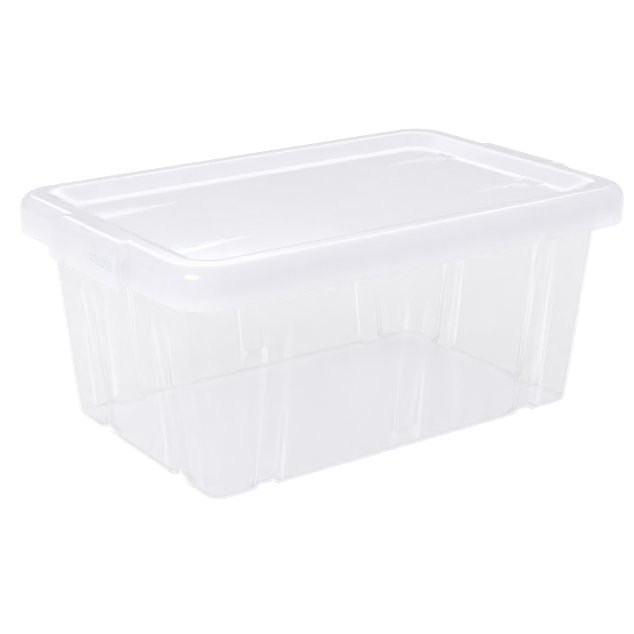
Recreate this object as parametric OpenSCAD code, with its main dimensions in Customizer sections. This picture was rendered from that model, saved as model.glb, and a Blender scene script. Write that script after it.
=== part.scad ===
// Stackable storage bin with a lift-off lid: two thin-walled plastic mouldings.
// Millimetres, +Z up, X along the long side. The origin is the centre of the base, on the ground.

/* [Lid] */
// Length of the lid over its skirt, without the end grips
lid_l = 380; // [378:1:400]
// Width of the lid over its skirt
lid_w = 252.5; // [251:0.5:270]
// Corner radius of the lid seen from above
lid_r = 32; // [30:1:40]
// Height of the closed bin
height = 169; // [150:1:220]
// Height of the lid's skirt
skirt_h = 26.5; // [22:0.5:30]
// Radius of the rounded top edge of the lid
top_edge_r = 10; // [7:0.5:10]

/* [End grips] */
// Width of each end grip
grip_w = 100; // [80:1:110]
// How far a grip stands out from the skirt
grip_out = 5.5; // [3:0.5:8]
// How far a grip hangs below the skirt
grip_drop = 3; // [0:0.5:5]
// Radius of a grip's upper corners
grip_r = 11; // [6:1:14]

/* [Stacking recess] */
// Length of the recess floor that seats the next bin's base
recess_l = 314; // [312:1:318]
// Width of the recess floor
recess_w = 182; // [180:1:186]
// Corner radius of the recess floor
recess_r = 13; // [8:1:16]
// Length of the recess at its upper edge
crest_l = 341; // [334:1:342]
// Width of the recess at its upper edge
crest_w = 213; // [206:1:214]
// Corner radius of the recess at its upper edge
crest_r = 20; // [16:1:22]
// Depth of the recess
recess_depth = 8; // [6:0.5:9]
// Length of each tapered groove in the recess floor
groove_l = 67; // [30:1:90]
// Width of a groove at its wide end
groove_w = 18; // [8:1:24]
// Depth of a groove at its wide end
groove_depth = 2.5; // [2:0.5:6]

/* [Bin body] */
// Length of the base
base_l = 316.5; // [310:0.5:320]
// Width of the base
base_w = 194.5; // [190:0.5:198]
// Corner radius of the base seen from above
base_r = 13; // [11:1:18]
// Radius of the rounded edge round the bottom
base_edge_r = 7; // [4:0.5:8]
// Length over the walls at the rim
mouth_l = 347; // [346:0.5:350]
// Width over the walls at the rim
mouth_w = 231.5; // [226:0.5:231.5]
// Corner radius of the walls at the rim
mouth_r = 26; // [22:1:28]
// Height of the rim's turned-down lip
lip_h = 17; // [12:0.5:20]

/* [Flutes] */
// Width of each upright flute in the walls
flute_w = 19; // [14:1:24]
// Depth of a flute at the base
flute_depth = 5.5; // [2:0.5:6]
// Height at which a flute has faded out
flute_top = 120; // [80:1:130]
// Distance of the long walls' outer flutes from the middle
flute_x = 113.5; // [60:0.5:120]
// Height of the closed lower end of the long walls' middle flute
flute_foot = 14; // [9:1:30]

/* [Material] */
// Wall thickness of both mouldings
wall = 1.8; // [1.4:0.1:2.2]
// Clearance between the lid and the body's rim
gap = 0.4; // [0.3:0.05:0.6]
// Width of the blank name plate pressed into one grip
plate_w = 28; // [12:1:40]
// Height of the name plate
plate_h = 6.5; // [4:0.5:8]

/* [Hidden] */

CLEAR = [0.92, 0.93, 0.94, 0.45];
MILKY = [0.95, 0.95, 0.97, 0.75];
CORNER_STEPS = 7;
EDGE_STEPS = 5;
FLANK = 1.4;
FOOT_RUN = 4;
FLOOR_INSET = flute_depth + 3;
SMALLEST_R = 3;
BOSS_LEAD = 7;
GROOVE_FLOOR = 0.8;
GROOVE_TIP = 0.03;
GROOVE_END = 0.5;
PLATE_DEPTH = 0.5;
PLATE_BAR = 0.9;

skirt_z = height - skirt_h;
recess_z = height - recess_depth;
flute_y = grip_w / 2;
grip_x = lid_l / 2 + grip_out;
plate_y = -29;
plate_z = height - 13.8;

// The body's rim lies inside the lid, one wall and one clearance in from the lid's outer faces
rim_inset = wall + gap;
rim_l = lid_l - 2 * rim_inset;
rim_w = lid_w - 2 * rim_inset;
rim_r = lid_r - rim_inset;
rim_z = height - rim_inset;
rim_edge_r = top_edge_r - rim_inset;
lip_z = rim_z - lip_h;

// A shell's thickness moves the bends of the sloping recess side this far outwards
slope = atan(2 * recess_depth / (crest_l - recess_l));
bend = wall * tan(slope / 2);

// Share of a flute's depth that is left at a height
function fade(z) = max(0, 1 - z / flute_top);
// The same for a middle flute, which is closed at its foot
function footed(z) = fade(z) * min(1, max(0, (z - flute_foot) / FOOT_RUN));
// Length, width and corner radius of the tapered walls at a height
function wall_l(z) = base_l + (mouth_l - base_l) * z / rim_z;
function wall_w(z) = base_w + (mouth_w - base_w) * z / rim_z;
function wall_r(z) = base_r + (mouth_r - base_r) * z / rim_z;
// Half the width of a grip at a height, where its upper corners are rounded
function grip_half(z, inset) =
    let (q = grip_r - inset, rise = min(q, max(0, z - height + grip_r)))
        grip_w / 2 - inset - q + sqrt(q * q - rise * rise);

// A quarter round seen from above
function corner(cx, cy, r, start) = [
    for (i = [0 : CORNER_STEPS])
        let (a = start + 90 * i / CORNER_STEPS) [cx + r * cos(a), cy + r * sin(a)]
];

// Closed outline: each side is a list of [distance along it, distance it is pressed in].
// It starts in the middle of a corner, so a fan from its first point covers it without slivers.
function outline(l, w, r, z, ends, sides) = let (
    flat = concat(
        [for (s = ends) [l / 2 - s[1], s[0]]],
        corner(l / 2 - r, w / 2 - r, r, 0),
        [for (s = sides) [-s[0], w / 2 - s[1]]],
        corner(r - l / 2, w / 2 - r, r, 90),
        [for (s = ends) [s[1] - l / 2, -s[0]]],
        corner(r - l / 2, r - w / 2, r, 180),
        [for (s = sides) [s[0], s[1] - w / 2]],
        corner(l / 2 - r, r - w / 2, r, 270)
    ),
    n = len(flat),
    first = len(ends) + floor(CORNER_STEPS / 2)
) [for (i = [0 : n - 1]) let (p = flat[(first + i) % n]) [p[0], p[1], z]];

// Stations across one flute
function flute_steps(at, half, depth) = [
    [at - half, 0],
    [at - half + FLANK, depth],
    [at + half - FLANK, depth],
    [at + half, 0]
];

// Stations along a whole short side, from those of its upper half
function both_halves(upper) = concat(
    [for (i = [len(upper) - 1 : -1 : 0]) [-upper[i][0], upper[i][1]]],
    upper
);

// Outline of the body's wall at a height: inset from its outer face, on the shell's inner or outer skin
function wall_ring(z, inset, shell, depth = flute_depth) = let (half = flute_w / 2 + shell) outline(
    wall_l(z) - 2 * inset,
    wall_w(z) - 2 * inset,
    max(wall_r(z) - inset, SMALLEST_R),
    z,
    both_halves(flute_steps(flute_y, half, depth * fade(z))),
    concat(
        flute_steps(-flute_x, half, depth * fade(z)),
        flute_steps(0, half, depth * footed(z)),
        flute_steps(flute_x, half, depth * fade(z))
    )
);

// Plain outline on the floor, inside the lower ends of the flutes
function floor_ring(z, shell) = wall_ring(z, base_edge_r + FLOOR_INSET, shell, 0);

// Outline of the body's rim in the same way, with a tongue at each end that fills the lid's grip
function rim_ring(z, inset, shell) = let (tongue = grip_half(z, rim_inset + shell)) outline(
    rim_l - 2 * inset,
    rim_w - 2 * inset,
    rim_r - inset,
    z,
    both_halves([
        [tongue - 2 * FLANK, -grip_out],
        [tongue - FLANK, -grip_out],
        [tongue, 0],
        [tongue + FLANK, 0]
    ]),
    concat(
        flute_steps(-flute_x, flute_w / 2, 0),
        flute_steps(0, flute_w / 2, 0),
        flute_steps(flute_x, flute_w / 2, 0)
    )
);

// Outline of the lid: out is how far the grips stand out, drop how far they hang down
function lid_ring(l, w, r, z, half, out = 0, drop = 0) = let (
    steps = [[-half, 0], [FLANK - half, out], [half - FLANK, out], [half, 0]],
    flat = outline(l, w, r, z, [for (s = steps) [s[0], -s[1]]], [])
) [for (p = flat) [p[0], p[1], abs(p[0]) > l / 2 + out / 2 ? z - drop : z]];

// Outline of the lid's skirt at a height: inset from its outer face, on the shell's inner or outer skin
function skirt_ring(z, inset, shell, drop = 0) = lid_ring(
    lid_l - 2 * inset,
    lid_w - 2 * inset,
    lid_r - inset,
    z,
    grip_half(z, shell),
    grip_out,
    drop
);

// Outlines round a rounded edge of radius r centred at height z, on the shell's inner or outer skin
function edge_rings(ring, z, r, shell, from, to) = [
    for (i = [0 : EDGE_STEPS])
        let (a = from + (to - from) * i / EDGE_STEPS, q = r - shell)
            ring(z + q * sin(a), r - q * cos(a), shell)
];

// Solid between a stack of outlines that all have the same number of points
module loft(rings) {
    n = len(rings[0]);
    m = len(rings);
    walls = [
        for (j = [0 : m - 2], i = [0 : n - 1])
            let (a = j * n + i, b = j * n + (i + 1) % n)
                each [[a, a + n, b], [b, a + n, b + n]]
    ];
    caps = [[for (i = [0 : n - 1]) i], [for (i = [n - 1 : -1 : 0]) (m - 1) * n + i]];
    polyhedron(points = [for (ring = rings) each ring], faces = concat(caps, walls), convexity = 10);
}

// Tapered wedge along X at one groove's place: set is how much wider and deeper it is than the groove
module groove_wedge(set, top) {
    wide = groove_w / 2 + set;
    deep = groove_depth + set;
    tip_x = recess_l / 2 - groove_l - (set > 0 ? BOSS_LEAD : 0);
    brim = 1 + (1 - GROOVE_FLOOR) * top / deep;
    end = function (x, share) [
        for (p = [[-brim, top], [-GROOVE_FLOOR, -deep * share], [GROOVE_FLOOR, -deep * share], [brim, top]])
            [x, flute_y + p[0] * wide * share, recess_z + p[1]]
    ];
    loft([end(tip_x, GROOVE_TIP), end(recess_l / 2 - GROOVE_END + set, 1)]);
}

// The four grooves lie in line with the short walls' flutes
module grooves(set, top) {
    for (mx = [0, 1], my = [0, 1])
        mirror([mx, 0, 0])
            mirror([0, my, 0])
                groove_wedge(set, top);
}

// Blank name plate: a shallow pocket with two plain bars across it
module name_plate() {
    translate([-grip_x - PLATE_DEPTH, plate_y - plate_w / 2, plate_z - plate_h / 2])
        difference() {
            cube([2 * PLATE_DEPTH, plate_w, plate_h]);
            for (z = [plate_h / 3, 2 * plate_h / 3])
                translate([0, plate_w / 8, z - PLATE_BAR / 2])
                    cube([2 * PLATE_DEPTH, plate_w * 3 / 4, PLATE_BAR]);
        }
}

// Bin body: tapered fluted walls, rounded bottom edge, and a rim that turns outwards and down
module bin_body() {
    walls = function (z, inset, shell) wall_ring(z, inset, shell);
    rim = function (z, inset, shell) rim_ring(z, inset, shell);
    bends = [flute_foot, flute_foot + FOOT_RUN, flute_top];
    color(CLEAR)
        loft(concat(
            [floor_ring(0, 0)],
            edge_rings(walls, base_edge_r, base_edge_r, 0, -90, 0),
            [for (z = bends) wall_ring(z, 0, 0)],
            [wall_ring(rim_z - wall, 0, 0)],
            edge_rings(rim, rim_z - rim_edge_r, rim_edge_r, wall, 90, 0),
            [rim_ring(lip_z, wall, wall), rim_ring(lip_z, 0, 0)],
            edge_rings(rim, rim_z - rim_edge_r, rim_edge_r, 0, 0, 90),
            [wall_ring(rim_z, wall, wall)],
            [for (i = [2 : -1 : 0]) wall_ring(bends[i], wall, wall)],
            edge_rings(walls, base_edge_r, base_edge_r, wall, 0, -90),
            [floor_ring(wall, wall)]
        ));
}

// Lid: skirt with a grip at each end, rounded top edge, and the recess that seats the next bin
module lid() {
    skirt = function (z, inset, shell) skirt_ring(z, inset, shell);
    top_half = grip_half(height, 0);
    floor_edge = function (set, z)
        lid_ring(recess_l + 2 * set, recess_w + 2 * set, recess_r + set, z, top_half);
    crest_edge = function (set, z)
        lid_ring(crest_l + 2 * set, crest_w + 2 * set, crest_r + set, z, top_half);
    color(MILKY)
        difference() {
            union() {
                loft(concat(
                    [floor_edge(bend, recess_z - wall), crest_edge(bend, height - wall)],
                    edge_rings(skirt, height - top_edge_r, top_edge_r, wall, 90, 0),
                    [skirt_ring(skirt_z, wall, wall, grip_drop), skirt_ring(skirt_z, 0, 0, grip_drop)],
                    edge_rings(skirt, height - top_edge_r, top_edge_r, 0, 0, 90),
                    [crest_edge(0, height), floor_edge(0, recess_z)]
                ));
                grooves(wall, -wall / 2);
            }
            grooves(0, 1);
            name_plate();
        }
}

bin_body();
lid();
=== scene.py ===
"""Stackable storage bin: the visual model of its body and lid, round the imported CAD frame.

Lengths in the shape code are millimetres, as in the part's source, and make_piece() turns them into metres.
Light, floor and camera are in metres.
"""

import math

import bpy
import numpy as np
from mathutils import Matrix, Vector

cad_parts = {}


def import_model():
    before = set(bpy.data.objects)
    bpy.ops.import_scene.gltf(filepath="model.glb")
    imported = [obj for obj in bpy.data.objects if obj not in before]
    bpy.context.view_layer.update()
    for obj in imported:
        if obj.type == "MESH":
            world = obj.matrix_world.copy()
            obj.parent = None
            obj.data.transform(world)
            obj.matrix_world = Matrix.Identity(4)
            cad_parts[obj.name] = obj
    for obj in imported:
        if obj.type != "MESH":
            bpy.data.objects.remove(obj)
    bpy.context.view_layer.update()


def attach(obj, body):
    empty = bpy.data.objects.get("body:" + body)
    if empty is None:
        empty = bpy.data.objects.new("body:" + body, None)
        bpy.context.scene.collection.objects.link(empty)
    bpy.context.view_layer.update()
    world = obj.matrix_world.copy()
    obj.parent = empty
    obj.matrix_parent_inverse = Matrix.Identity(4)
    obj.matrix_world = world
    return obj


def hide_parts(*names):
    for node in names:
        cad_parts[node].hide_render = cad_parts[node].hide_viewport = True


MM = 0.001

# Sizes shared with the part's source
LID_L, LID_W, LID_R = 380.0, 252.5, 32.0
HEIGHT, SKIRT_H, TOP_EDGE_R = 169.0, 26.5, 10.0
GRIP_W, GRIP_OUT, GRIP_DROP, GRIP_R = 100.0, 5.5, 3.0, 11.0
RECESS_L, RECESS_W, RECESS_R, RECESS_DEPTH = 314.0, 182.0, 13.0, 8.0
CREST_L, CREST_W, CREST_R = 341.0, 213.0, 20.0
GROOVE_L, GROOVE_W, GROOVE_DEPTH = 67.0, 18.0, 2.5
BASE_L, BASE_W, BASE_R, BASE_EDGE_R = 316.5, 194.5, 13.0, 7.0
MOUTH_L, MOUTH_W, MOUTH_R = 347.0, 231.5, 26.0
LIP_H = 17.0
FLUTE_W, FLUTE_DEPTH, FLUTE_TOP, FLUTE_X, FLUTE_FOOT = 19.0, 5.5, 120.0, 113.5, 14.0
# The middle flutes reach their depth over this run, softened at both ends
FOOT_RUN, FOOT_BLEND = 4.0, 1.0
WALL, GAP = 1.8, 0.4
PLATE_Y, PLATE_W, PLATE_H, PLATE_DEPTH = -29.0, 28.0, 6.5, 0.5
PLATE_Z = HEIGHT - 13.8

SKIRT_Z = HEIGHT - SKIRT_H
RECESS_Z = HEIGHT - RECESS_DEPTH
FLUTE_Y = GRIP_W / 2
RIM_INSET = WALL + GAP
RIM_L, RIM_W, RIM_R = LID_L - 2 * RIM_INSET, LID_W - 2 * RIM_INSET, LID_R - RIM_INSET
RIM_Z, RIM_EDGE_R = HEIGHT - RIM_INSET, TOP_EDGE_R - RIM_INSET
LIP_Z = RIM_Z - LIP_H
BEND = WALL * math.tan(math.atan(2 * RECESS_DEPTH / (CREST_L - RECESS_L)) / 2)

# How finely the meshes follow the shapes
CORNER_STEPS = 12
EDGE_STEPS = 10
LIP_STEPS = 6
# Width of a flute's or groove's flank, from its lip to its foot
FLANK = 2.2
# A level run inside the lid's rounded edge, so that the rounding's shading ends there
LEVEL_RUN = 0.6
# The moulding's gate mark in the middle of the floor: radius, height, and its section in shares of them
GATE_R, GATE_RISE = 5.0, 0.12
GATE_SECTION = ((1.3, 0.0), (1.0, 0.0), (0.8, 0.2), (0.6, 0.5), (0.4, 0.8), (0.2, 1.0))

# Strength of the painted highlight, not refracted light, on a flute's rounded edge, its flanks, and a
# groove's flanks
EDGE_PAINTED_HIGHLIGHT, FLANK_PAINTED_HIGHLIGHT, GROOVE_PAINTED_HIGHLIGHT = 5.5, 0.88, 2.5
# Width of the edge's painted bright line, the heights over which it fades in, and the depth of wall it can
# lie in
PAINTED_LINE_W = 0.55
PAINTED_LINE_FADE_TOP, PAINTED_LINE_FADE = 105.0, 70.0
PAINTED_LINE_DEPTH = 11.0
# Run below the flutes' top over which the flanks' painted highlight fades in, and where all of it fades out
# at the base
FLANK_FADE = 20.0
PAINTED_LINE_FOOT, PAINTED_LINE_FOOT_RUN = 4.0, 6.0
# The flanks' band of painted highlight across a flute, and how softly it ends
FLANK_BAND, FLANK_BAND_SOFT = (6.4, 11.8), 1.6
# The same painted highlight band across a groove's flanks, and how softly it ends
GROOVE_BAND, GROOVE_BAND_SOFT = (6.6, 10.2), 0.8
GROOVE_MARGIN = 0.5

# Stations across one flute or groove, from its middle, and the reach of its cluster
CLUSTER = [2.25, 4.5, 6.5, 7.3, 7.9, 8.4, 8.8, 9.2, 9.6, 10.1, 10.7, 11.5]
REACH = CLUSTER[-1]
# Within this distance of a groove's middle, the stations between clusters are moved with them
END_FREE = 15.0
TINY = 1e-6


def ease(t):
    """Smooth step from 0 to 1."""
    t = np.clip(t, 0.0, 1.0)
    return t * t * (3 - 2 * t)


def mirrored(values):
    """A list of distances from the middle, on both sides of it."""
    return np.array(sorted({-v for v in values} | set(values)))


def cluster(at):
    """Stations round a flute at this place."""
    return [at - c for c in CLUSTER] + [at] + [at + c for c in CLUSTER]


# Stations along the ends (Y) and the sides (X). The last few are shares of the way to the corner.
END_FIXED = 65.0
SIDE_FIXED = 130.0
END_U = mirrored([0.0, 5, 10, 15, 20, 25, 30, 35] + cluster(FLUTE_Y) + [END_FIXED])
SIDE_U = mirrored([0.0] + CLUSTER + [17.0, 25, 33, 41, 49, 57, 65, 73, 81, 89, 97]
                  + cluster(FLUTE_X) + [SIDE_FIXED])
SHARES = np.array([0.3, 0.65])


def to_corner(stations, fixed, corner):
    """Stations with the last ones put between the fixed part and the start of the corner."""
    tail = fixed + (corner - fixed) * SHARES
    return np.concatenate([-tail[::-1], stations, tail])


def arc(cx, cy, r, start):
    """Quarter circle round (cx, cy), anticlockwise from the start angle in degrees."""
    a = np.radians(start + 90.0 * np.arange(CORNER_STEPS + 1) / CORNER_STEPS)
    return np.stack([cx + r * np.cos(a), cy + r * np.sin(a)], 1)


def ring(length, width, r, z, ends, sides, press_end=None, press_side=None):
    """Closed outline, anticlockwise from above.

    The press arrays say how far each station is pushed in."""
    hl, hw = length / 2, width / 2
    pe = np.zeros(len(ends)) if press_end is None else press_end
    ps = np.zeros(len(sides)) if press_side is None else press_side
    flat = np.concatenate([
        np.stack([hl - pe, ends], 1),
        arc(hl - r, hw - r, r, 0),
        np.stack([sides, hw - ps], 1)[::-1],
        arc(r - hl, hw - r, r, 90),
        np.stack([pe - hl, ends], 1)[::-1],
        arc(r - hl, r - hw, r, 180),
        np.stack([sides, ps - hw], 1),
        arc(hl - r, r - hw, r, 270),
    ])
    return np.column_stack([flat, np.full(len(flat), z)])


# ---- Body ----

def wall_size(z):
    """Length, width and corner radius of the tapered walls at a height."""
    t = z / RIM_Z
    return (BASE_L + (MOUTH_L - BASE_L) * t,
            BASE_W + (MOUTH_W - BASE_W) * t,
            BASE_R + (MOUTH_R - BASE_R) * t)


def fade(z):
    """Depth of a flute at a height, as a share of its depth at the base."""
    return max(0.0, 1 - z / FLUTE_TOP)


def spread(stations, centres, scale):
    """Stations with those round each centre moved outwards or inwards from it."""
    out = stations.copy()
    for c in centres:
        d = stations - c
        near = np.abs(d) <= REACH + TINY
        out[near] = c + d[near] * scale
    return out


# Share of a flank's width that lies outside the flute's nominal width
LIP_SHARE = 0.15


def flute_press(stations, centres, half, depths):
    """How far the stations lie pressed in by flutes of this half width."""
    press = np.zeros(len(stations))
    for c, depth in zip(centres, depths):
        press += depth * ease((half + FLANK * LIP_SHARE - np.abs(stations - c)) / FLANK)
    return press


END_FLUTES = [-FLUTE_Y, FLUTE_Y]
SIDE_FLUTES = [-FLUTE_X, 0.0, FLUTE_X]
LEAST_CORNER = 3.0
# Heights at which the wall is drawn
WALL_HEIGHTS = sorted({10.0, 13, 14.5, 16, 17.5, 19, 22, *np.arange(28.0, 121.0, 8.0), 120.5, 128, 140, 152})
# How far the grip's outermost stations lie inside and outside its edge
GRIP_NEAR, GRIP_FAR = 3.5, 1.5
# Where the wall meets the rim: how far below it and how far out each outline lies
NECK = ((1.2, 0.0), (0.35, 0.12), (0.0, 0.45))
MOUTH_EDGE_R = 1.5
# How far inside the flutes' lower ends the floor's two level outlines lie
FLOOR_INSETS = (3.0, 5.0)


def wall_ring(z, inset, shell, depth=FLUTE_DEPTH):
    """Outline of the body's wall at a height, inset from its outer face, on the outer or inner skin."""
    length, width, r = wall_size(z)
    length, width, r = length - 2 * inset, width - 2 * inset, max(r - inset, LEAST_CORNER)
    half = FLUTE_W / 2 + shell
    scale = half / (FLUTE_W / 2)
    ends = to_corner(spread(END_U, END_FLUTES, scale), END_FIXED, width / 2 - r)
    sides = to_corner(spread(SIDE_U, SIDE_FLUTES, scale), SIDE_FIXED, length / 2 - r)
    deep = depth * fade(z)
    footed = deep * float(ease((z - FLUTE_FOOT + FOOT_BLEND) / (FOOT_RUN + 2 * FOOT_BLEND)))
    return ring(length, width, r, z, ends, sides,
                flute_press(ends, END_FLUTES, half, [deep, deep]),
                flute_press(sides, SIDE_FLUTES, half, [deep, footed, deep]))


def grip_half(z, inset):
    """Half the width of a grip at a height, where its upper corners are rounded."""
    q = GRIP_R - inset
    rise = min(q, max(0.0, z - HEIGHT + GRIP_R))
    return GRIP_W / 2 - inset - q + math.sqrt(max(q * q - rise * rise, 0.0))


def grip_stations(stations, half):
    """End stations with one cluster gathered at the edge of a grip of this half width."""
    a = np.abs(stations)
    low, high = FLUTE_Y - REACH, FLUTE_Y - CLUSTER[2]
    gathered = np.interp(a, [0, low, high, END_FIXED], [0, half - GRIP_NEAR, half + GRIP_FAR, END_FIXED])
    return np.sign(stations) * gathered


def grip_share(stations, half):
    """How much of a grip stands out at each station, from 0 to 1."""
    return ease((half - np.abs(stations)) / FLANK)


def rim_ring(z, inset, shell):
    """Outline of the body's rim, with a tongue at each end inside the lid's grip."""
    length, width, r = RIM_L - 2 * inset, RIM_W - 2 * inset, RIM_R - inset
    half = grip_half(z, RIM_INSET + shell)
    ends = to_corner(grip_stations(END_U, half), END_FIXED, width / 2 - r)
    sides = to_corner(SIDE_U, SIDE_FIXED, length / 2 - r)
    return ring(length, width, r, z, ends, sides, -GRIP_OUT * grip_share(ends, half))


def edge_rings(make, z, r, shell, start, stop, steps=EDGE_STEPS):
    """Outlines round a rounded edge of radius r centred at height z, on the outer or inner skin."""
    out = []
    for i in range(steps + 1):
        a = math.radians(start + (stop - start) * i / steps)
        q = r - shell
        out.append(make(z + q * math.sin(a), r - q * math.cos(a), shell))
    return out


def lip_rings(make, z, inner_first=True):
    """Outlines round the half-round lower edge of a wall."""
    out = []
    for i in range(LIP_STEPS + 1):
        a = math.pi * i / LIP_STEPS
        inset = WALL / 2 * (1 + math.cos(a))
        out.append(make(z + WALL / 2 * (1 - math.sin(a)), inset, inset))
    return out if inner_first else out[::-1]


def gate_rings(count, z, first_angle):
    """Small rings round the middle of the floor, where the moulding's gate left a low boss."""
    a = first_angle + 2 * math.pi * np.arange(count) / count
    out = []
    for share, rise in GATE_SECTION:
        r = GATE_R * share
        out.append(np.column_stack([r * np.cos(a), r * np.sin(a), np.full(count, z + GATE_RISE * rise)]))
    return out


def floor_rings(z, shell):
    """Outlines on the floor, from inside the flutes' lower ends to the gate."""
    level = [wall_ring(z, BASE_EDGE_R + FLUTE_DEPTH + inset, shell, 0.0) for inset in FLOOR_INSETS]
    for outline in level:
        outline[:, 2] = z
    first = math.atan2(level[0][0, 1], level[0][0, 0])
    return level + gate_rings(len(level[0]), z, first)


def body_rings():
    """All outlines of the body in order: up the outer skin, round the rim, and down the inner skin."""
    rings = floor_rings(0.0, 0.0)[::-1]
    rings += edge_rings(wall_ring, BASE_EDGE_R, BASE_EDGE_R, 0.0, -90, 0)
    rings += [wall_ring(z, 0.0, 0.0) for z in WALL_HEIGHTS]
    rings += [wall_ring(RIM_Z - WALL - below, -out, 0.0) for below, out in NECK]
    rings += edge_rings(rim_ring, RIM_Z - RIM_EDGE_R, RIM_EDGE_R, WALL, 90, 0)
    rings += lip_rings(rim_ring, LIP_Z)
    rings += edge_rings(rim_ring, RIM_Z - RIM_EDGE_R, RIM_EDGE_R, 0.0, 0, 90)
    for a in (90, 60, 30, 0):
        z = RIM_Z + MOUTH_EDGE_R * (math.sin(math.radians(a)) - 1)
        inset = WALL + MOUTH_EDGE_R * (math.cos(math.radians(a)) - 1)
        rings.append(wall_ring(z, inset, WALL))
    rings += [wall_ring(z, WALL, WALL) for z in WALL_HEIGHTS[::-1]]
    rings += edge_rings(wall_ring, BASE_EDGE_R, BASE_EDGE_R, WALL, 0, -90)
    rings += floor_rings(WALL, WALL)
    return rings


def band(across, limits, soft):
    """1 between the limits, 0 outside them, with soft ends."""
    return ease((across - limits[0]) / soft) * ease((limits[1] - across) / soft)


def flute_painted_highlight(points):
    """How much each point of the body lies on a flute's flank or rounded edge.

    There a painted highlight stands in for the bent plastic passing light like a lens."""
    x, y, z = np.abs(points[:, 0]), np.abs(points[:, 1]), points[:, 2]
    length, width, _ = wall_size(z)
    on_end = (x > length / 2 - PAINTED_LINE_DEPTH) & (y < END_FIXED)
    on_side = (y > width / 2 - PAINTED_LINE_DEPTH) & (x < SIDE_FIXED)
    across = np.where(on_end, np.abs(y - FLUTE_Y), np.minimum(x, np.abs(x - FLUTE_X)))
    inner = np.arange(len(points)) >= len(points) / 2
    from_edge = across - FLUTE_W / 2 - WALL * inner
    edge = EDGE_PAINTED_HIGHLIGHT * np.exp(-(from_edge / PAINTED_LINE_W) ** 2) * ease((PAINTED_LINE_FADE_TOP - z) / PAINTED_LINE_FADE)
    flank = FLANK_PAINTED_HIGHLIGHT * band(across, FLANK_BAND, FLANK_BAND_SOFT) * ease((FLUTE_TOP - z) / FLANK_FADE)
    return np.where(on_end | on_side, np.maximum(edge, flank) * ease((z - PAINTED_LINE_FOOT) / PAINTED_LINE_FOOT_RUN), 0.0)


def groove_painted_highlight(points):
    """The same painted highlight for the flanks of the lid's grooves."""
    x, y, z = np.abs(points[:, 0]), np.abs(points[:, 1]), points[:, 2]
    share = groove_share(x, GROOVE_TIP_X, GROOVE_END_X)
    across = np.abs(y - FLUTE_Y) / np.maximum(share, TIP_SHARE)
    level = np.abs(z - RECESS_Z) < GROOVE_DEPTH + GROOVE_MARGIN
    inside = (x > GROOVE_TIP_X) & (x < GROOVE_END_X) & level
    return np.where(inside, GROOVE_PAINTED_HIGHLIGHT * band(across, GROOVE_BAND, GROOVE_BAND_SOFT), 0.0)


def loft(rings):
    """Points and faces of a closed solid between outlines that all have the same number of points."""
    n = len(rings[0])
    points = np.concatenate(rings)
    faces = [tuple(range(n - 1, -1, -1))]
    for j in range(len(rings) - 1):
        a, b = j * n, (j + 1) * n
        faces += [(a + i, a + (i + 1) % n, b + (i + 1) % n, b + i) for i in range(n)]
    last = (len(rings) - 1) * n
    faces.append(tuple(range(last, last + n)))
    return points, faces


# ---- Lid ----

# Stations along the lid's sides. Those in LID_TAIL cross the grooves.
LID_FREE = 88.0
LID_MID = [0.0, 8, 16, 24, 32, 40, 48, 56, 62, 68, 74, 80, 84, LID_FREE]
LID_TAIL = [90.0, 92, 94.5, 97, 100, 103.5, 107, 111, 115, 119, 123,
            127, 131, 135, 139, 143, 147, 150.5, 153.5, 155, 155.6, 156]
LID_END = RECESS_L / 2 - 0.54
GROOVE_TIP_X = RECESS_L / 2 - GROOVE_L
GROOVE_END_X = 155.8
# The stations' spread at a groove's tip, as a share of that at its wide end, and where it narrows to that
TIP_SHARE = 0.08
TIP_FROM, TIP_RUN = 58.0, 28.0
# On the underside the grooves start this much sooner, end this much later, and are this much wider
UNDER_TIP, UNDER_END, UNDER_WIDEN = 6.0, 1.4, 1.2
# Where a groove's flank starts at its lip, out from its middle, and the run over which its wide end rises
GROOVE_LIP = GROOVE_W / 2 + 0.3
GROOVE_END_SOFT = 1.0
# How far the bends at the top and foot of the recess's side are rounded, as shares of its slope
CREST_SOFT, FOOT_SOFT = 0.16, 0.06
SLOPE_STEPS = [-0.20, -0.16, -0.1, -0.04, 0.02, 0.08, 0.16, 0.3,
               0.6, 0.90, 0.94, 0.97, 1.0, 1.03, 1.06, 1.10]
# Heights at which the skirt is drawn, and the run below SKIRT_MID over which the grips come to hang lower
SKIRT_HEIGHTS = (156.0, 153.0, 149.0, 146.0)
SKIRT_MID, SKIRT_RUN = 156.0, 12.0


def lid_sides(corner):
    """Side stations of the lid. Those past LID_FREE are shares of the way to the corner."""
    tail = [LID_FREE + (x - LID_FREE) / (LID_END - LID_FREE) * (corner - LID_FREE) for x in LID_TAIL]
    return mirrored(LID_MID + tail)


def lid_ring(length, width, r, z, ends, half=None, out=0.0, drop=0.0):
    """Outline of the lid: out is how far the grips stand out, drop how far they hang down."""
    ends = to_corner(ends, END_FIXED, width / 2 - r)
    sides = lid_sides(length / 2 - r)
    share = np.zeros(len(ends)) if half is None else grip_share(ends, half)
    made = ring(length, width, r, z, ends, sides, -out * share)
    if drop:
        n, arc_n = len(ends), CORNER_STEPS + 1
        left = n + arc_n + len(sides) + arc_n
        made[:n, 2] -= drop * share
        made[left:left + n, 2] -= drop * share[::-1]
    return made


def skirt_ring(z, inset, shell, drop=0.0):
    """Outline of the skirt at a height, inset from its outer face, on the outer or inner skin."""
    half = grip_half(z, shell)
    return lid_ring(LID_L - 2 * inset, LID_W - 2 * inset, LID_R - inset, z,
                    grip_stations(END_U, half), half, GRIP_OUT, drop)


def soft_ramp(t, at, width):
    """max(0, t - at), rounded within width of its bend."""
    d = t - at
    if d <= -width:
        return 0.0
    if d >= width:
        return d
    return (d + width) ** 2 / (4 * width)


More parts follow.
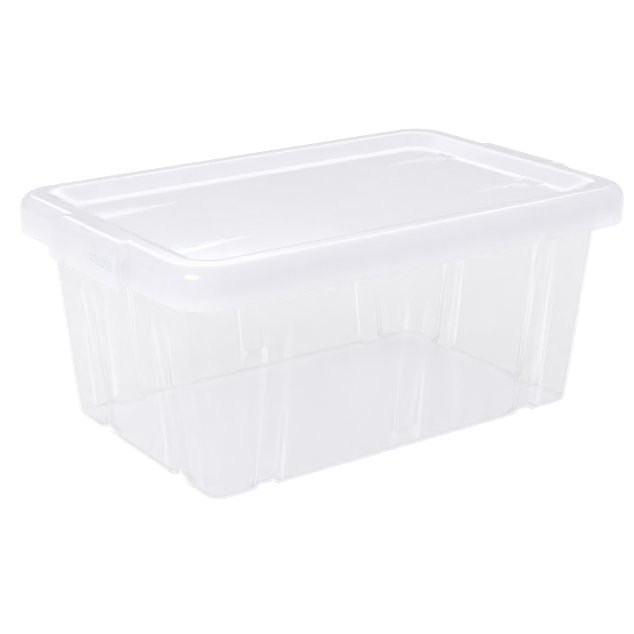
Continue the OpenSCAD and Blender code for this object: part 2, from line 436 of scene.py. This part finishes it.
def slope_ring(t, shell):
    """Outline at share t of the way down the recess side, on the outer or inner skin."""
    set_out = 0.0 if shell == 0 else BEND
    fall = soft_ramp(t, 0.0, CREST_SOFT) - soft_ramp(t, 1.0, FOOT_SOFT)
    top_half = grip_half(HEIGHT, 0)
    gathered = grip_stations(END_U, top_half)
    mix = float(ease(t))
    ends = gathered * (1 - mix) + END_U * mix
    if shell:
        ends = ends * (1 - mix) + spread(END_U, END_FLUTES, UNDER_WIDEN) * mix
    return lid_ring(CREST_L + (RECESS_L - CREST_L) * t + 2 * set_out,
                    CREST_W + (RECESS_W - CREST_W) * t + 2 * set_out,
                    CREST_R + (RECESS_R - CREST_R) * t + set_out,
                    HEIGHT - shell - RECESS_DEPTH * fall, ends)


def low_skirt_ring(z, inset, shell):
    """Outline of the skirt where the grips hang down in full."""
    return skirt_ring(z, inset, shell, GRIP_DROP)


def side_skirt_ring(z, shell):
    """Outline of the skirt's side, where the grips come to hang lower."""
    return skirt_ring(z, shell, shell, GRIP_DROP * float(ease((SKIRT_MID - z) / SKIRT_RUN)))


def lid_rings():
    """The lid's outlines in order: from the recess's foot over the crest, down the skirt and back inside."""
    top = [slope_ring(t, 0.0) for t in SLOPE_STEPS[::-1]]
    outer = [skirt_ring(HEIGHT, TOP_EDGE_R + LEVEL_RUN, 0.0)]
    outer += edge_rings(skirt_ring, HEIGHT - TOP_EDGE_R, TOP_EDGE_R, 0.0, 90, 0)
    outer += [side_skirt_ring(z, 0.0) for z in SKIRT_HEIGHTS]
    lip = lip_rings(low_skirt_ring, SKIRT_Z, False)
    inner = [side_skirt_ring(z, WALL) for z in SKIRT_HEIGHTS[::-1]]
    inner += edge_rings(skirt_ring, HEIGHT - TOP_EDGE_R, TOP_EDGE_R, WALL, 0, 90)
    inner += [skirt_ring(HEIGHT - WALL, TOP_EDGE_R + LEVEL_RUN, WALL)]
    under = [slope_ring(t, WALL) for t in SLOPE_STEPS]
    return top + outer + lip + inner + under


def groove_share(x, tip, end):
    """How wide and deep a groove is at x, from 0 at its tip to 1 at its wide end."""
    return np.clip((np.abs(x) - tip) / (end - tip), 0.0, 1.0)


END_N = len(END_U) + 2 * len(SHARES)
ARC_N = CORNER_STEPS + 1
SIDE_N = len(lid_sides(0.0))


def sunk_row(x, row_y, z, shell):
    """Points of one row of the recess floor, drawn together and sunk where they cross the grooves."""
    tip = GROOVE_TIP_X - (UNDER_TIP if shell else 0.0)
    end = GROOVE_END_X + (UNDER_END if shell else 0.0)
    widen = UNDER_WIDEN if shell else 1.0
    reach = REACH * widen
    share = groove_share(x, tip, end)
    narrowing = 1 - (1 - TIP_SHARE) * ease((np.abs(x) - TIP_FROM) / TIP_RUN)
    narrow = np.where(np.abs(x) < LID_FREE, narrowing, np.maximum(share, TIP_SHARE))
    along = ease((end + GROOVE_END_SOFT / 2 - np.abs(x)) / GROOVE_END_SOFT)
    y = np.full(len(x), row_y)
    depth = np.zeros(len(x))
    for c in END_FLUTES:
        d = row_y - c
        if abs(d) <= reach + TINY:
            y = c + d * narrow
            across = ease((GROOVE_LIP - abs(d) / widen) / FLANK)
            depth += GROOVE_DEPTH * share * across * along
        elif abs(d) < END_FREE:
            k = (abs(d) - reach) / (END_FREE - reach)
            y = c + np.sign(d) * (reach * narrow + k * (END_FREE - reach * narrow))
    return np.column_stack([x, y, z - depth])


def floor_index():
    """Which points of its edge outline lie to the right, left, top and bottom of the recess floor."""
    a0 = END_N + ARC_N + SIDE_N
    a1 = a0 + ARC_N
    a2 = a1 + END_N
    a3 = a2 + ARC_N + SIDE_N
    right = list(range(a3, a3 + ARC_N)) + list(range(END_N + ARC_N))
    left = list(range(a2, a2 + ARC_N))[::-1] + list(range(a1, a2))[::-1] + list(range(a0, a1))[::-1]
    top = list(range(END_N + ARC_N, a0))[::-1]
    bottom = list(range(a2 + ARC_N, a3))
    return right, left, top, bottom


def lid_mesh():
    """Points and faces of the lid: a loft, closed by the recess floor on each skin."""
    rings = lid_rings()
    n = len(rings[0])
    points = [np.concatenate(rings)]
    faces = []
    for j in range(len(rings) - 1):
        a, b = j * n, (j + 1) * n
        faces += [(b + i, b + (i + 1) % n, a + (i + 1) % n, a + i) for i in range(n)]
    right, left, top, bottom = floor_index()
    base = len(rings) * n
    for at, z, shell in ((0, RECESS_Z, 0.0), (len(rings) - 1, RECESS_Z - WALL, WALL)):
        edge = rings[at]
        index = np.full((len(right), SIDE_N + 2), -1)
        index[:, -1] = right
        index[:, 0] = left
        index[-1, 1:-1] = top
        index[0, 1:-1] = bottom
        index[index >= 0] += at * n
        # Each row runs between the points of the edge at its two ends
        rows = []
        for i in range(1, len(right) - 1):
            x_left, x_right, y = edge[left[i], 0], edge[right[i], 0], edge[right[i], 1]
            x = np.concatenate([[x_left], lid_sides(x_right), [x_right]])
            rows.append(sunk_row(x, y, z, shell)[1:-1])
        inner = np.concatenate(rows)
        index[1:-1, 1:-1] = base + np.arange(len(inner)).reshape(len(rows), SIDE_N)
        base += len(inner)
        points.append(inner)
        for i in range(index.shape[0] - 1):
            for j in range(index.shape[1] - 1):
                quad = (index[i, j], index[i, j + 1], index[i + 1, j + 1], index[i + 1, j])
                faces.append(tuple(int(q) for q in (quad[::-1] if shell else quad)))
    return np.concatenate(points), faces


# Half the thickness of a bar on the plate, and how far the pocket's cutter stands proud of the grip
PLATE_BAR_HALF = 0.45
CUTTER_PROUD = 1.0


def plate_cutter():
    """Points and faces of the name plate's pocket in a grip, in which two plain bars are left standing."""
    ys = [PLATE_Y + PLATE_W * share for share in (-1 / 2, -3 / 8, 3 / 8, 1 / 2)]
    bars = [PLATE_H / 3, PLATE_H * 2 / 3]
    zs = [0.0] + [bar + side for bar in bars for side in (-PLATE_BAR_HALF, PLATE_BAR_HALF)] + [PLATE_H]
    face = -(LID_L / 2 + GRIP_OUT)
    xs = [face - CUTTER_PROUD, face + PLATE_DEPTH]
    bottom = PLATE_Z - PLATE_H / 2
    points = [(x, y, bottom + z) for x in xs for z in zs for y in ys]
    ny, nz = len(ys), len(zs)

    def at(side, i, j):
        return side * ny * nz + i * ny + j

    def solid(i, j):
        on_bar = j == 1 and i in (1, 3)
        return 0 <= i < nz - 1 and 0 <= j < ny - 1 and not on_bar

    faces = []
    for i in range(nz - 1):
        for j in range(ny - 1):
            if not solid(i, j):
                continue
            corners = [(i, j), (i, j + 1), (i + 1, j + 1), (i + 1, j)]
            faces.append([at(0, *c) for c in corners][::-1])
            faces.append([at(1, *c) for c in corners])
            for k, (di, dj) in enumerate(((-1, 0), (0, 1), (1, 0), (0, -1))):
                if not solid(i + di, j + dj):
                    a, b = corners[k], corners[(k + 1) % 4]
                    faces.append([at(0, *a), at(0, *b), at(1, *b), at(1, *a)])
    return np.array(points, float), faces


# ---- Blender objects ----

# Edges sharper than this many degrees are shaded as edges
SHARP_OVER = 40


def make_piece(name, points, faces):
    """A smooth-shaded mesh object from points in millimetres."""
    mesh = bpy.data.meshes.new(name)
    mesh.from_pydata([tuple(p) for p in np.asarray(points) * MM], [], faces)
    mesh.validate()
    mesh.polygons.foreach_set("use_smooth", [True] * len(mesh.polygons))
    mesh.set_sharp_from_angle(angle=math.radians(SHARP_OVER))
    mesh.update()
    obj = bpy.data.objects.new(name, mesh)
    bpy.context.scene.collection.objects.link(obj)
    return obj


def cut(obj, points, faces):
    """Takes a small solid away from obj, for good."""
    cutter = make_piece(obj.name + "_cutter", points, faces)
    modifier = obj.modifiers.new("cut", "BOOLEAN")
    modifier.operation = "DIFFERENCE"
    modifier.solver = "EXACT"
    modifier.object = cutter
    depsgraph = bpy.context.evaluated_depsgraph_get()
    mesh = bpy.data.meshes.new_from_object(obj.evaluated_get(depsgraph), depsgraph=depsgraph)
    obj.modifiers.remove(modifier)
    old = obj.data
    obj.data = mesh
    bpy.data.meshes.remove(old)
    bpy.data.objects.remove(cutter)
    mesh.set_sharp_from_angle(angle=math.radians(SHARP_OVER))
    mesh.name = obj.name


def set_painted_highlight(obj, rule):
    """Stores the share of painted highlight that rule gives each point, for the plastic's shader."""
    mesh = obj.data
    flat = np.zeros(3 * len(mesh.vertices))
    mesh.vertices.foreach_get("co", flat)
    values = rule(flat.reshape(-1, 3) / MM)
    # The point attribute is named lens but holds the painted highlight share
    mesh.attributes.new("lens", "FLOAT", "POINT").data.foreach_set("value", values.astype(np.float32))


# ---- Materials ----

class Nodes:
    """Makes the nodes of one node tree. An input takes a number, a colour or another node's socket."""

    def __init__(self, tree):
        self.tree = tree

    def feed(self, socket, value):
        if isinstance(value, bpy.types.NodeSocket):
            self.tree.links.new(value, socket)
        else:
            socket.default_value = value

    def add(self, kind, **inputs):
        """Adds a node and feeds its inputs, whose names have _ for a space."""
        node = self.tree.nodes.new("ShaderNode" + kind)
        for name, value in inputs.items():
            self.feed(node.inputs[name.replace("_", " ")], value)
        return node

    def math(self, operation, *values, clamp=False):
        node = self.add("Math")
        node.operation = operation
        node.use_clamp = clamp
        for socket, value in zip(node.inputs, values):
            self.feed(socket, value)
        return node.outputs[0]

    def ramp(self, value, low, high, start=0.0, stop=1.0):
        """low where value is at start, high where it is at stop, and evenly between them."""
        node = self.add("MapRange", Value=value, From_Min=start, From_Max=stop, To_Min=low, To_Max=high)
        return node.outputs["Result"]

    def mix_colour(self, share, first, second):
        node = self.add("Mix")
        node.data_type = "RGBA"
        for at, value in ((0, share), (6, first), (7, second)):
            self.feed(node.inputs[at], value)
        return node.outputs[2]

    def mix_value(self, share, first, second):
        node = self.add("Mix")
        for at, value in ((0, share), (2, first), (3, second)):
            self.feed(node.inputs[at], value)
        return node.outputs[0]

    def mix_shader(self, share, first, second):
        node = self.add("MixShader")
        for socket, value in zip(node.inputs, (share, first, second)):
            self.feed(socket, value)
        return node.outputs[0]


def new_material(name):
    """A material with an empty node tree, and the maker of its nodes."""
    material = bpy.data.materials.new(name)
    material.use_nodes = True
    material.node_tree.nodes.clear()
    return material, Nodes(material.node_tree)


# Scale of the cloudiness and of the flow marks, which are stretched up the walls into soft streaks
CLOUD_SCALE, FLOW_SCALE, FLOW_STRETCH = 11.0, 45.0, 0.10
CLOUD_SHADE = 0.985
BUMP_HEIGHT = 0.001
# How far the roughness goes below and above its value with the cloudiness
ROUGH_BELOW, ROUGH_ABOVE = 0.02, 0.03
HAZE_ROUGHNESS = 0.6
FLOW_HAZE = 0.05
GLOSS_COLOUR = (0.93, 0.93, 0.94, 1)
HEAD_ON_MIRROR = 0.04
# The painted highlight is drawn in full where the surface is turned away, and by a share of 0.15 where it is
# face on
PAINTED_HIGHLIGHT_TURN, PAINTED_HIGHLIGHT_FACE_ON = (0.22, 0.36), 0.15
# The floor of the bin lies below this height in metres, and this share of its light is scattered
FLOOR_TOP, FLOOR_HAZE = 0.004, 0.36


def opaque(colour):
    return (*colour, 1)


def plastic(name, solid, tint, edge_tint, floor_tint, clear_share, edge_share, painted_highlight_haze, glow_share, rough,
            streak):
    """Translucent moulded polypropylene.

    Each skin lets clear_share of the light straight through where it is seen face on, and edge_share at its
    edges, tinted by tint and edge_tint. The rest meets the plastic itself, of which glow_share passes on the
    light from behind, diffused. rough is its gloss and streak the strength of its flow marks."""
    material, n = new_material(name)
    coords = n.add("TexCoord")
    # The lens attribute holds each point's share of painted highlight
    lens = n.add("Attribute")
    lens.attribute_name = "lens"
    stretched = n.add("Mapping", Vector=coords.outputs["Object"], Scale=(1.0, 1.0, FLOW_STRETCH))
    flow = n.add("TexNoise", Vector=stretched.outputs["Vector"], Scale=FLOW_SCALE, Detail=3.0, Roughness=0.5)
    cloud = n.add("TexNoise", Vector=coords.outputs["Object"], Scale=CLOUD_SCALE, Detail=3.0)
    facing = n.add("LayerWeight", Blend=0.5).outputs["Facing"]

    # Light scattered in the plastic, forwards and back
    darker = [c * CLOUD_SHADE for c in solid]
    colour = n.mix_colour(cloud.outputs["Fac"], opaque(darker), opaque(solid))
    haze = n.add("BsdfPrincipled", Base_Color=colour, Roughness=HAZE_ROUGHNESS, Specular_IOR_Level=0.0)
    glow = n.add("BsdfTranslucent", Color=colour)
    body = n.mix_shader(glow_share, haze.outputs[0], glow.outputs[0])

    # Painted highlight: where the stored share is high the plastic is drawn brighter, above all where it is
    # turned away
    turned = n.ramp(facing, PAINTED_HIGHLIGHT_FACE_ON, 1.0, *PAINTED_HIGHLIGHT_TURN)
    painted_bright = n.math("MULTIPLY", lens.outputs["Fac"], turned, clamp=True)

    # Light that goes straight through: tinted more at edges and in the floor, which is moulded thicker
    place = n.add("SeparateXYZ", Vector=coords.outputs["Object"])
    low = n.ramp(place.outputs["Z"], 0.0, 1.0, FLOOR_TOP, FLOOR_TOP / 2)
    through = n.mix_colour(facing, opaque(tint), opaque(edge_tint))
    through = n.mix_colour(low, through, opaque(floor_tint))
    # Painted highlight: the light going through is left untinted there
    through = n.mix_colour(painted_bright, through, opaque((1, 1, 1)))
    clear = n.add("BsdfTransparent", Color=through)

    # How much light is scattered and not let through
    share = n.ramp(facing, 1 - clear_share, 1 - edge_share)
    share = n.math("MULTIPLY_ADD", flow.outputs["Fac"], FLOW_HAZE, share)
    share = n.ramp(low, share, FLOOR_HAZE)
    # Painted highlight: less haze there, so more of the white behind shows
    share = n.ramp(painted_bright, share, painted_highlight_haze)
    unlit = n.mix_shader(share, clear.outputs[0], body)

    # Gloss: what both sides of a skin mirror, by Schlick's rule
    mirror = n.ramp(n.math("POWER", facing, 5.0), HEAD_ON_MIRROR, 1.0)
    # Painted highlight: no gloss there
    mirror = n.ramp(painted_bright, mirror, 0.0)
    roughness = n.ramp(cloud.outputs["Fac"], rough - ROUGH_BELOW, rough + ROUGH_ABOVE, 0.3, 0.7)
    wave = n.add("Bump", Strength=streak, Distance=BUMP_HEIGHT, Height=flow.outputs["Fac"])
    gloss = n.add("BsdfGlossy", Color=GLOSS_COLOUR, Roughness=roughness, Normal=wave.outputs["Normal"])
    n.add("OutputMaterial", Surface=n.mix_shader(mirror, unlit, gloss.outputs[0]))
    return material


# The floor paint's colour, how much it glows so that the floor reads as white, and the floor's half width
PAINT, PAINT_GLOW, FLOOR_HALF = 0.31, 0.77, 12.0
# Gap under the bin, so that its base and the floor don't lie in one plane
STAND = 0.0004


def add_floor():
    """A plain pale floor. Seen from below it isn't there, so that the underside of the bin shows."""
    mesh = bpy.data.meshes.new("floor")
    corners = [(x * FLOOR_HALF, y * FLOOR_HALF, -STAND) for x, y in ((-1, -1), (1, -1), (1, 1), (-1, 1))]
    mesh.from_pydata(corners, [], [(0, 1, 2, 3)])
    floor = bpy.data.objects.new("floor", mesh)
    bpy.context.scene.collection.objects.link(floor)
    material, n = new_material("floor_paint")
    paint = n.add("BsdfPrincipled", Base_Color=opaque((PAINT, PAINT, PAINT)), Roughness=0.9,
                  Specular_IOR_Level=0.1, Emission_Color=opaque((1, 1, 1)), Emission_Strength=PAINT_GLOW)
    below = n.add("BsdfTransparent")
    side = n.add("NewGeometry").outputs["Backfacing"]
    n.add("OutputMaterial", Surface=n.mix_shader(side, paint.outputs[0], below.outputs[0]))
    mesh.materials.append(material)


# ---- Light and camera ----

# How bright the studio is behind the bin (+Y), in front of it and overhead, and the backdrop in view
SKY_BEHIND, SKY_FRONT, SKY_TOP = 0.64, 1.08, 0.92
BACKDROP = 1.05
# The large soft light behind the bin. Its lower edge lies just above what the level recess floor mirrors.
BACK_HEADING, BACK_ELEVATION, BACK_DISTANCE = math.radians(32), math.radians(30.4), 4.0
BACK_TARGET = (0, 0, 0.16)
BACK_SIZE, BACK_POWER = (2.7, 1.85), 16.5
KEY_AT, KEY_TARGET = (-1.5, -0.6, 1.6), (0, 0, 0.1)
KEY_SIZE, KEY_POWER = (0.9, 0.9), 13
CAMERA_AT, CAMERA_LENS, CAMERA_SENSOR = (-0.6632, -0.9306, 0.4643), 93.87, 36.0
CAMERA_HEADING, CAMERA_PITCH = math.radians(35.18), math.radians(18.99)


def direction(heading, elevation):
    """Unit vector, with the heading from +Y towards +X."""
    flat = math.cos(elevation)
    return Vector((math.sin(heading) * flat, math.cos(heading) * flat, math.sin(elevation)))


def aim(obj, along):
    obj.rotation_euler = along.to_track_quat("-Z", "Y").to_euler()


def add_area_light(name, at, target, size, power):
    lamp = bpy.data.lights.new(name, "AREA")
    lamp.shape = "RECTANGLE"
    lamp.size, lamp.size_y = size
    lamp.energy = power
    obj = bpy.data.objects.new(name, lamp)
    obj.location = at
    aim(obj, Vector(target) - Vector(at))
    bpy.context.scene.collection.objects.link(obj)


def add_light():
    """The studio's two lights, and a sky that is darker behind the bin than in front of it."""
    world = bpy.data.worlds.new("studio")
    world.use_nodes = True
    n = Nodes(world.node_tree)
    towards = n.add("TexCoord").outputs["Generated"]
    part = n.add("SeparateXYZ", Vector=towards)
    level = n.ramp(part.outputs["Y"], SKY_FRONT, SKY_BEHIND, -0.2, 0.8)
    rise = n.ramp(part.outputs["Z"], 0.0, 1.0, 0.3, 0.9)
    sky = n.mix_value(rise, level, SKY_TOP)
    path = n.add("LightPath")
    background = world.node_tree.nodes.get("Background")
    n.feed(background.inputs["Strength"], n.mix_value(path.outputs["Is Camera Ray"], sky, BACKDROP))
    n.feed(background.inputs["Color"], opaque((1, 1, 1)))
    bpy.context.scene.world = world
    back_at = Vector(BACK_TARGET) + BACK_DISTANCE * direction(BACK_HEADING, BACK_ELEVATION)
    add_area_light("key", KEY_AT, KEY_TARGET, KEY_SIZE, KEY_POWER)
    add_area_light("back", back_at, BACK_TARGET, BACK_SIZE, BACK_POWER)


def add_camera():
    data = bpy.data.cameras.new("camera")
    data.sensor_width = CAMERA_SENSOR
    data.lens = CAMERA_LENS
    camera = bpy.data.objects.new("camera", data)
    bpy.context.scene.collection.objects.link(camera)
    camera.location = CAMERA_AT
    aim(camera, direction(CAMERA_HEADING, -CAMERA_PITCH))
    bpy.context.scene.camera = camera


def main():
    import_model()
    scene = bpy.context.scene

    clear = plastic("clear_plastic", solid=(0.93, 0.93, 0.94), tint=(0.944, 0.944, 0.947),
                    edge_tint=(0.938, 0.937, 0.944), floor_tint=(0.947, 0.942, 0.954), clear_share=0.95,
                    edge_share=0.90, painted_highlight_haze=0.04, glow_share=0.5, rough=0.09, streak=0.004)
    milky = plastic("milky_plastic", solid=(0.94, 0.94, 0.962), tint=(0.975, 0.975, 0.985),
                    edge_tint=(0.94, 0.94, 0.96), floor_tint=(0.94, 0.94, 0.96), clear_share=0.50,
                    edge_share=0.25, painted_highlight_haze=0.34, glow_share=0.5, rough=0.07, streak=0.004)

    body = make_piece("bin_shell", *loft(body_rings()))
    # Painted highlight share along the flutes' flanks and rounded edges
    set_painted_highlight(body, flute_painted_highlight)
    body.data.materials.append(clear)
    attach(body, "bin")
    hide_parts("bin_body")

    lid = make_piece("lid_shell", *lid_mesh())
    cut(lid, *plate_cutter())
    # Painted highlight share along the grooves' flanks
    set_painted_highlight(lid, groove_painted_highlight)
    lid.data.materials.clear()
    lid.data.materials.append(milky)
    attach(lid, "lid")
    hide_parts("lid")

    add_floor()
    add_light()
    add_camera()

    # Enough bounces for light to cross all the skins
    scene.view_settings.view_transform = "Standard"
    scene.cycles.transparent_max_bounces = 40
    scene.cycles.max_bounces = 16


main()
